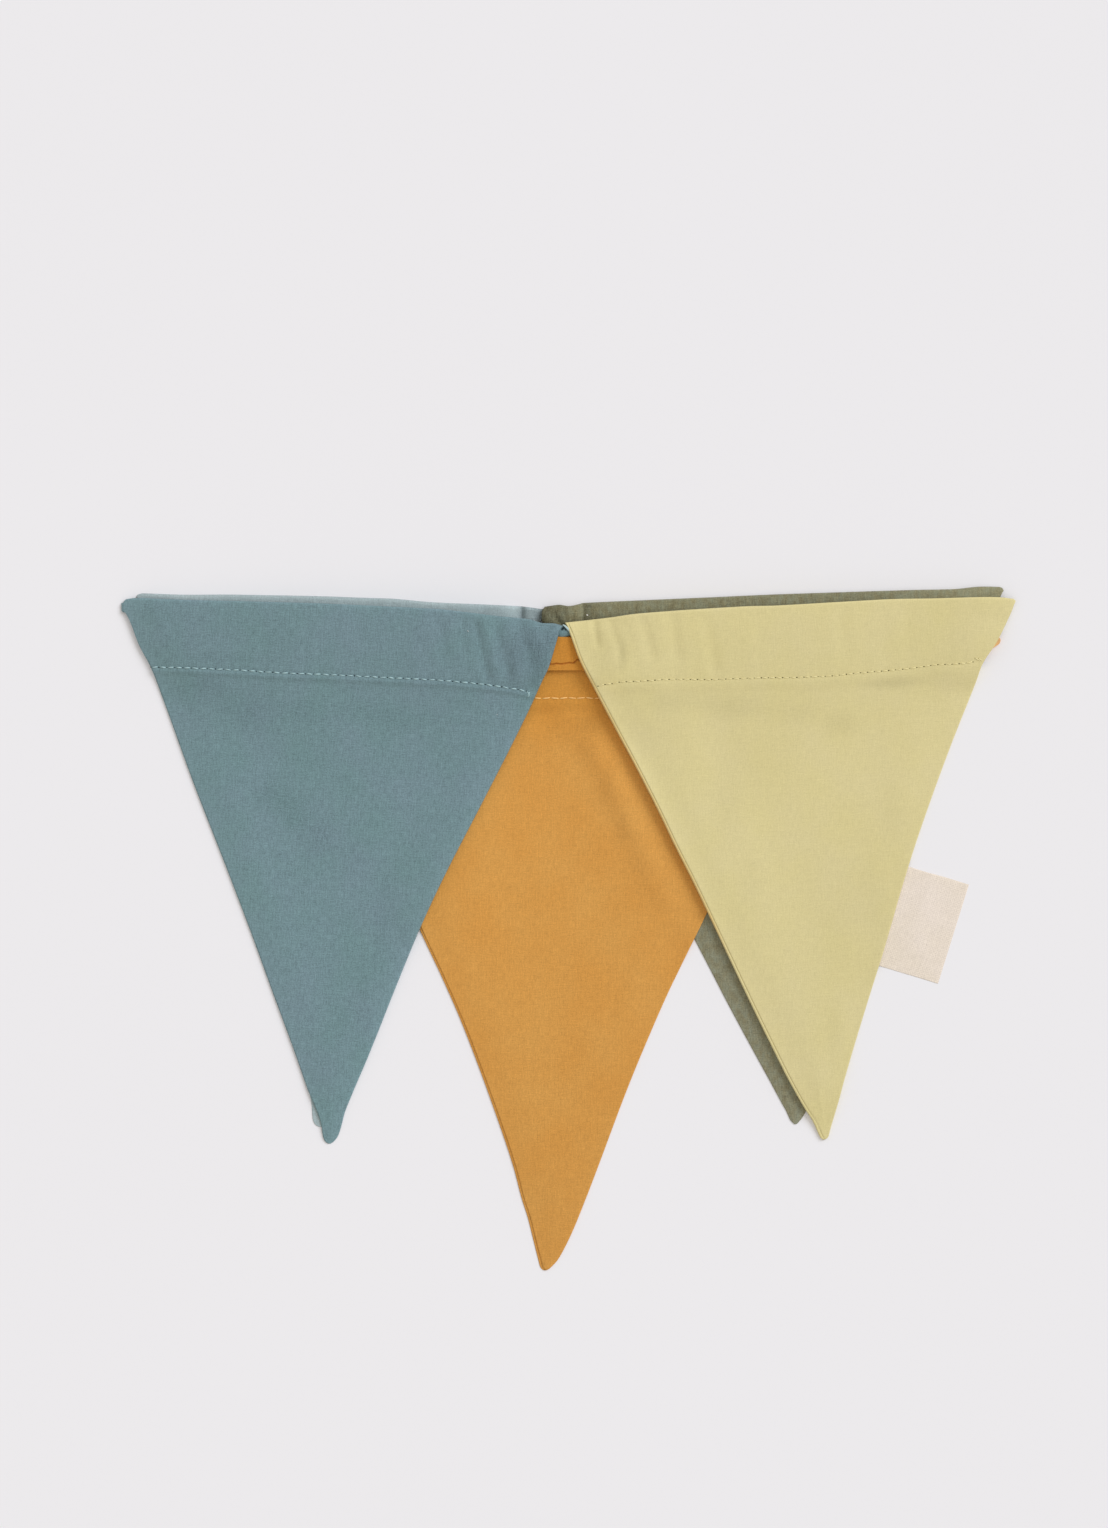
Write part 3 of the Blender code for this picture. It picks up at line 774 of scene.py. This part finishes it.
def linear(red, green, blue):
    """An sRGB colour, 0 to 255, as the shader's linear one."""
    shares = [value / 255 for value in (red, green, blue)]
    return tuple(s / 12.92 if s <= 0.04045 else ((s + 0.055) / 1.055) ** 2.4 for s in shares)


class Tree:
    """Adds nodes to a material and joins them."""

    def __init__(self, name):
        self.material = bpy.data.materials.new(name)
        self.material.use_nodes = True
        self.nodes = self.material.node_tree.nodes
        self.shader = self.nodes["Principled BSDF"]

    def join(self, value, socket):
        if isinstance(value, bpy.types.NodeSocket):
            self.material.node_tree.links.new(value, socket)
        else:
            socket.default_value = value

    def add(self, kind, values=(), out=0, **settings):
        node = self.nodes.new("ShaderNode" + kind)
        for key, value in settings.items():
            setattr(node, key, value)
        for key, value in dict(values).items():
            self.join(value, node.inputs[key])
        return node.outputs[out]

    def math(self, operation, first, second=0, third=0):
        values = {0: first, 1: second, 2: third}
        return self.add("Math", values, operation=operation)

    def total(self, *values):
        whole = values[0]
        for value in values[1:]:
            whole = self.math("ADD", whole, value)
        return whole

    def vector(self, operation, first, second=(0, 0, 0), out=0):
        return self.add("VectorMath", {0: first, 1: second}, out, operation=operation)

    def scaled(self, vector, share):
        return self.add("VectorMath", {0: vector, 3: share}, operation="SCALE")

    def split(self, vector):
        """A vector's first two parts."""
        self.add("SeparateXYZ", {0: vector})
        node = self.nodes[-1]
        return node.outputs[0], node.outputs[1]

    def ramp(self, value, low, high, start, end, kind="LINEAR"):
        """Goes from start to end while the value goes from low to high."""
        values = {0: value, 1: low, 2: high, 3: start, 4: end}
        return self.add("MapRange", values, interpolation_type=kind)

    def mixed(self, share, first, second, blend="MIX"):
        """Two colours mixed, or the second multiplied into the first."""
        values = {0: share, 6: first, 7: second}
        return self.add("Mix", values, 2, data_type="RGBA", blend_type=blend)

    def noise(self, vector, scale, detail=2, roughness=0.5):
        values = {"Vector": vector, "Scale": scale, "Detail": detail, "Roughness": roughness}
        return self.add("TexNoise", values)

    def streaks(self, vector, scale_u, scale_v, detail, roughness):
        """Noise with its own scale along the cloth and down it."""
        values = {"Vector": vector, "Scale": (scale_u, scale_v, 1)}
        return self.noise(self.add("Mapping", values), 1, detail, roughness)

    def centred(self, value, amount):
        """A 0 to 1 value as 0 in its middle, times an amount."""
        return self.math("MULTIPLY", self.math("SUBTRACT", value, 0.5), amount)

    def finish(self, colour, roughness, specular, height=None, strength=0, depth=0):
        """Gives the shader its colour, its gloss and, with a height, a bump of this depth."""
        inputs = self.shader.inputs
        self.join(colour, inputs["Base Color"])
        inputs["Roughness"].default_value = roughness
        inputs["Specular IOR Level"].default_value = specular
        if height is not None:
            values = {"Height": height, "Strength": strength, "Distance": depth * MM}
            self.join(self.add("Bump", values), inputs["Normal"])
        return self.material


# A woven cloth's noise as (scale along, scale down, detail, roughness), then its long
# uneven threads as (scale along, scale down, share of the slub)
WANDER = (0.25, 0.25, 1, 0.5)
THREADS_ONE_WAY = (0.35, 2.6, 2, 0.6)
THREADS_OTHER_WAY = (2.6, 0.35, 2, 0.6)
GRIT = (2.3, 2.3, 2, 0.8)
PATCHES = (0.05, 0.045, 3, 0.55)
CLOUDS = (0.5, 0.3, 2, 0.6)
LONG_THREADS = ((1.5, 0.04, 0.23), (0.04, 1.5, 0.12))
LEAST_LONG_THREADS = 0.045
WANDER_SIZE = 0.25
CLOUDY = 0.2
# The shares of the slub that threads one way, the other way and grit take, where the dye's
# drift fades in, and how much the threads' unevenness adds to the bump
TONE_SHARES = (0.7, 0.9, 1.6)
DRIFT_FADE = (0.35, 0.65)
THREAD_BUMP = 0.8
# Where the casing's tint of painted shade, the lip's painted shade and reflection and the lighter edges
# fade out, and the length of a flag
CASING_SHADE_FADE = (-40, -19)
LIP_FADE = (0.5, 1.1)
LIP_STARTS = (-10, -4)
LIP_ENDS = (-112, -98)
RIM_LIGHTER_FROM = 0.1
LEFT_LIGHT_FADE = (1, 9)
TIP_DOWN = 170
# Painted shade and painted reflection: the seam's edge that lies over the ochre flag is darkened and takes
# on some of its colour
LIP_SHADE_AND_BOUNCE = (0.96, 0.82, 0.68, 1)


def woven(name, colour, patch, pitch=0.37, slub=(0.5, 0.12), mottle=0.02, weave=0.16, tip_painted_shade=0,
          casing=(1, 1, 1), lip=0, rim_wear_and_light=(1.2, 1.04), left_painted_light=1, painted_shading=(), end=()):
    """Plain weave: threads over and under each other, uneven in width and tone, with painted light and
    shade laid over its colour.
    """
    tree = Tree(name)
    slub, cloudy = slub
    grain = tree.add("UVMap", uv_map="grain")
    wander = tree.scaled(tree.streaks(grain, *WANDER), WANDER_SIZE)
    across, upward = tree.split(tree.vector("ADD", grain, wander))
    turns = [tree.math("MULTIPLY", way, math.pi / pitch) for way in (across, upward)]
    sin_u, sin_v = [tree.math("SINE", turn) for turn in turns]
    over = tree.math("MULTIPLY_ADD", tree.math("MULTIPLY", sin_u, sin_v), 2, 0.5)
    over = tree.add("Clamp", {"Value": over})
    values = {0: over, 2: tree.math("ABSOLUTE", sin_u), 3: tree.math("ABSOLUTE", sin_v)}
    threads = tree.add("Mix", values, data_type="FLOAT")
    rows = (THREADS_ONE_WAY, THREADS_OTHER_WAY, GRIT, PATCHES, CLOUDS)
    fine_u, fine_v, grit, patches, cloud = [tree.streaks(grain, *row) for row in rows]
    tones = zip((fine_u, fine_v, grit, cloud), (*TONE_SHARES, cloudy))
    tones = [(value, slub * share) for value, share in tones]
    for scale_u, scale_v, amount in LONG_THREADS:
        long_threads = tree.streaks(grain, scale_u, scale_v, 1, 0.5)
        tones.append((long_threads, max(slub * amount, LEAST_LONG_THREADS)))
    tones += [(patches, mottle), (threads, weave)]
    tone = tree.total(*[tree.centred(value, amount) for value, amount in tones], 1)
    # Painted shade darkening the cloth towards its tip, where the light falls off; a negative amount
    # paints it lighter there instead, as painted light
    tone = tree.math("ADD", tone, tree.math("MULTIPLY", upward, tip_painted_shade / TIP_DOWN))
    # Soft round patches of painted light and painted shade, where folds and gathers catch or lose the
    # light
    for along, down, reach_along, reach_down, amount in painted_shading:
        off = tree.vector("SUBTRACT", grain, (along, -down, 0))
        off = tree.vector("MULTIPLY", off, (1 / reach_along, 1 / reach_down, 0))
        off = tree.vector("LENGTH", off, out=1)
        tone = tree.math("ADD", tone, tree.ramp(off, 0, 1, amount, 0, "SMOOTHSTEP"))
    drift = tree.ramp(patches if cloudy < CLOUDY else cloud, *DRIFT_FADE, 0, 1)
    dyed_and_shaded = tree.scaled(tree.mixed(drift, (*colour, 1), (*patch, 1)), tone)
    # The casing's tint is painted shade, darkening the casing where it lies low among the band and the
    # other flags
    casing_painted_shade = tree.ramp(upward, *CASING_SHADE_FADE, 0, 1, "SMOOTHSTEP")
    dyed_and_shaded = tree.mixed(casing_painted_shade, dyed_and_shaded, (*casing, 1), "MULTIPLY")
    for along, reach, end_colour in end:
        dyed_and_shaded = tree.mixed(tree.ramp(across, along - reach, along, 0, 1), dyed_and_shaded, (*end_colour, 1))
    from_left, from_rest = tree.split(tree.add("UVMap", uv_map="edges"))
    # Painted shade and reflected orange on the left seam edge, between these two heights down the flag
    below = tree.ramp(upward, *LIP_STARTS, 1, 0)
    above = tree.ramp(upward, *LIP_ENDS, 0, 1)
    lip_painted_shade = tree.ramp(from_left, *LIP_FADE, lip, 0)
    lip_painted_shade = tree.math("MULTIPLY", lip_painted_shade, tree.math("MULTIPLY", below, above))
    dyed_and_shaded = tree.mixed(lip_painted_shade, dyed_and_shaded, LIP_SHADE_AND_BOUNCE, "MULTIPLY")
    # Lighter along the right and top edges: partly wear, and for the blue partly painted light where its
    # edge falls away towards the light
    rim = tree.ramp(from_rest, RIM_LIGHTER_FROM, rim_wear_and_light[0], rim_wear_and_light[1], 1)
    # Painted light: lighter along the left edge, where the cloth slopes away from the light
    beside = tree.ramp(from_left, *LEFT_LIGHT_FADE, left_painted_light, 1)
    dyed_and_shaded = tree.scaled(dyed_and_shaded, tree.math("MULTIPLY", rim, beside))
    tree.shader.inputs["Sheen Weight"].default_value = 0.03
    tree.shader.inputs["Sheen Roughness"].default_value = 0.6
    height = tree.total(threads, tree.centred(tree.math("ADD", fine_u, fine_v), THREAD_BUMP))
    return tree.finish(dyed_and_shaded, 0.92, 0.2, height, strength=0.5, depth=0.05)


def thread_material(name, colour):
    """Sewing thread: fine twisted strands along it."""
    tree = Tree(name)
    strands = tree.noise(tree.add("TexCoord", out=3), 4000)
    tone = tree.math("ADD", tree.centred(strands, 0.3), 1)
    return tree.finish(tree.scaled(linear(*colour), tone), 0.7, 0.3, strands, strength=0.4, depth=0.03)


# Colours as they look in flat light, sRGB: each cloth, its drift, its thread and its holes' painted shade
CLOTH_COLOURS = {
    "light_blue_cotton": ((153, 167, 169), (158, 171, 172), (170, 186, 188), (90, 104, 108)),
    "dark_green_cotton": ((136, 131, 104), (130, 131, 111), (140, 138, 112), (50, 50, 38)),
    "ochre_cotton": ((212, 151, 72), (214, 156, 78), (250, 203, 130), (160, 106, 46)),
    "blue_cotton": ((112, 139, 142), (116, 139, 146), (168, 196, 199), (26, 42, 46)),
    # The pale green's thread is paler than its cloth, a painted highlight on the stitches
    "pale_green_cotton": ((216, 203, 147), (216, 203, 151), (231, 219, 166), (84, 74, 26)),
    "label_weave": ((226, 213, 196), (229, 216, 203)),
}
LINT_COLOUR = (240, 238, 230)
# The link rim's colour is a painted highlight
LINK_RIM_HIGHLIGHT = (178, 199, 200)
FLOOR_COLOUR = (237, 235, 237)
# The band's right end is paler, and darker where it turns down as painted shade: (along, reach, colour)
BAND_ENDS = ((136, 3, linear(234, 186, 124)), (139.3, 1.6, linear(212, 165, 114)))
# How each cloth looks: how strongly its threads differ in tone and how cloudy its dye is,
# how much darker it is painted towards its tip as shade (lighter where negative), the casing's
# tint of painted shade, how much lighter its right and top edges are, as (reach, amount), partly
# wear and partly painted light, and patches of painted light and painted shade as (along, down,
# reach along, reach down, amount)
LOOKS = {
    "light_blue_cotton": dict(
        slub=(0.55, 0.12), tip_painted_shade=-0.13,
        painted_shading=((55.8, 2.2, 5, 9, 0.18), (59.2, 2.2, 2.2, 9, -0.42), (64.7, 2.2, 5, 9, -0.34)),
    ),
    "dark_green_cotton": dict(
        slub=(0.8, 0.9), tip_painted_shade=-0.02, casing=(0.87, 0.86, 0.79),
        painted_shading=((-70.5, 2.5, 10, 9, -0.3), (-68, 2.5, 2.5, 9, -0.1), (-63, 2.5, 4, 9, 0.08),
            (-61.7, 1.5, 1.6, 9, 0.12), (-58.7, 1.2, 2.6, 8, -0.26), (70, 2, 42, 14, 0.25)),
    ),
    "ochre_cotton": dict(
        slub=(0.42, 0.12), tip_painted_shade=0.1, casing=(0.92, 0.85, 0.66),
        painted_shading=((8, 35, 7, 9, -0.05), (14, 47, 5, 10, -0.05), (19.5, 60, 4, 10, -0.04),
            (-9, 30, 7, 6, 0.08), (8, 28.5, 8, 4.5, -0.1)),
    ),
    "blue_cotton": dict(
        slub=(0.71, 0.12), tip_painted_shade=0.02, casing=(0.96, 0.95, 0.95), rim_wear_and_light=(2.5, 1.07), left_painted_light=1.03,
        painted_shading=((64, 12, 19, 18, -0.2), (18, 105, 5, 22, -0.05), (13, 130, 5, 26, -0.05),
            (-68, 5, 9, 10, 0.12), (-62, 14, 7, 10, 0.1), (-56, 22, 7, 8, 0.1), (-38, 19.3, 20, 3, -0.05),
            (-46, 27.5, 12, 5, -0.05), (-38, 30, 10, 5, -0.06), (-52, 27, 7, 6, 0.09),
            (-28, 38, 8, 9, -0.06), (-30, 34, 12, 8, -0.06), (-12, 35.5, 16, 6, -0.06),
            (8, 34.5, 14, 6, -0.05), (20, 36.5, 10, 6, -0.06), (32, 35, 9, 5, -0.03),
            (-20, 62, 8, 10, -0.1), (-12, 67.5, 9, 10, -0.09), (-4, 75, 9, 12, -0.08),
            (8, 81, 9, 14, -0.04)),
    ),
    "pale_green_cotton": dict(
        slub=(0.21, 0.12), tip_painted_shade=0.09, casing=(0.95, 0.95, 0.94), lip=1, left_painted_light=1.06,
        painted_shading=((-52, 29, 18, 12, 0.035), (-57, 6, 13, 11, -0.045), (-58.5, 21.5, 7, 5.5, 0.12),
            (-40, 28.5, 16, 6, -0.06), (-20, 31, 16, 6, -0.06), (0, 34, 14, 6, -0.045),
            (14, 38, 9, 6, -0.07), (32, 26, 16, 3, -0.11), (66, 6, 10, 12, -0.03), (48, 36, 8, 20, -0.03),
            (-54.5, 13, 2.5, 8, -0.12), (-23, 62, 9, 22, -0.05), (-18, 85, 7, 16, -0.025),
            (30, 70, 7, 22, -0.03), (22, 95, 6, 20, -0.03), (7, 138, 5, 18, -0.04)),
    ),
    "label_weave": dict(pitch=0.55, slub=(0.3, 0.12), weave=0.2),
}


def build_details(cloth, material, thread, hole):
    """What rides on a cloth: its stitches, its needle holes and the link."""
    thread_look = thread_material(cloth.colour + "_thread", thread)
    hole_shade_look = thread_material(cloth.colour + "_hole", hole)
    made = [build_stitches(cloth, thread_look), build_holes(cloth, hole_shade_look)]
    if cloth.name == "flag_blue":
        made += build_link(material, thread_material("link_rim_highlight", LINK_RIM_HIGHLIGHT), hole_shade_look)
    return made


def build_cloth(cloth, lint):
    """A cloth and its details."""
    main, drift, *sewing = CLOTH_COLOURS[cloth.colour]
    looks = LOOKS[cloth.colour]
    # The band is coloured darker, painted shade where it lies between the front flags
    if cloth.shade:
        darker = [value * share for value, share in zip(linear(*main), cloth.shade)]
        material = woven(cloth.colour + "_band", darker, darker, slub=looks["slub"], end=BAND_ENDS)
    else:
        material = woven(cloth.colour, linear(*main), linear(*drift), **looks)
    made, area = build_sheet(cloth, material)
    more = [lint] if cloth.name == "flag_dark_green" else []
    if cloth.stitches:
        more += build_details(cloth, material, *sewing)


def build_all():
    lint = build_lint(thread_material("lint", LINT_COLOUR))
    for slot_name in CLOTH_COLOURS:
        for cloth in CLOTHS:
            if cloth.colour == slot_name:
                build_cloth(cloth, lint)


FLOOR_SIZE = 3
FLOOR_BELOW = 0.02


def build_stage():
    tree = Tree("floor")
    faint = tree.noise(tree.add("TexCoord", out=3), 6, 3)
    tone = tree.math("ADD", tree.centred(faint, 0.01), 1)
    mesh = bpy.data.meshes.new("floor")
    corners = [(-1, -1), (1, -1), (1, 1), (-1, 1)]
    mesh.from_pydata([(x * FLOOR_SIZE, y * FLOOR_SIZE, 0) for x, y in corners], [], [(0, 1, 2, 3)])
    mesh.materials.append(tree.finish(tree.scaled(linear(*FLOOR_COLOUR), tone), 0.9, 0.1))
    floor = put("floor", mesh)
    floor.location.z = -FLOOR_BELOW * MM


def build_camera():
    data = bpy.data.cameras.new("camera")
    data.lens = LENS
    data.sensor_width = SENSOR
    camera = put("camera", data)
    tall = PICTURE_SIZE[1] * PIXEL * MM
    x = (PICTURE_SIZE[0] / 2 - OBJECT_MIDDLE_PIXEL[0]) * PIXEL * MM
    y = (OBJECT_MIDDLE_PIXEL[1] - PICTURE_SIZE[1] / 2) * PIXEL * MM
    camera.location = (x, y, LOOK_HEIGHT * MM + tall * LENS / SENSOR)
    scene.camera = camera


# Light: one large soft source from the right, as wide as this angle, in a white room
KEY_DIRECTION = (0.66, 0.46, 0.60)
KEY_ANGLE = 34
KEY_SHARE = 0.34
KEY_COLOUR = (0.93, 0.984, 1.07)
ROOM_COLOUR = (1.02, 0.99, 0.945, 1)


def build_lights():
    direction = Vector(KEY_DIRECTION).normalized()
    data = bpy.data.lights.new("key", "SUN")
    data.angle = math.radians(KEY_ANGLE)
    data.energy = KEY_SHARE * math.pi / direction.z
    data.color = KEY_COLOUR
    key = put("key", data)
    key.location = direction
    key.rotation_euler = direction.to_track_quat("Z", "Y").to_euler()
    world = bpy.data.worlds.new("world")
    world.use_nodes = True
    back = world.node_tree.nodes["Background"]
    back.inputs["Color"].default_value = ROOM_COLOUR
    back.inputs["Strength"].default_value = 1 - KEY_SHARE
    scene.world = world
    scene.view_settings.view_transform = "Standard"


build_camera()
build_lights()
build_stage()
build_all()
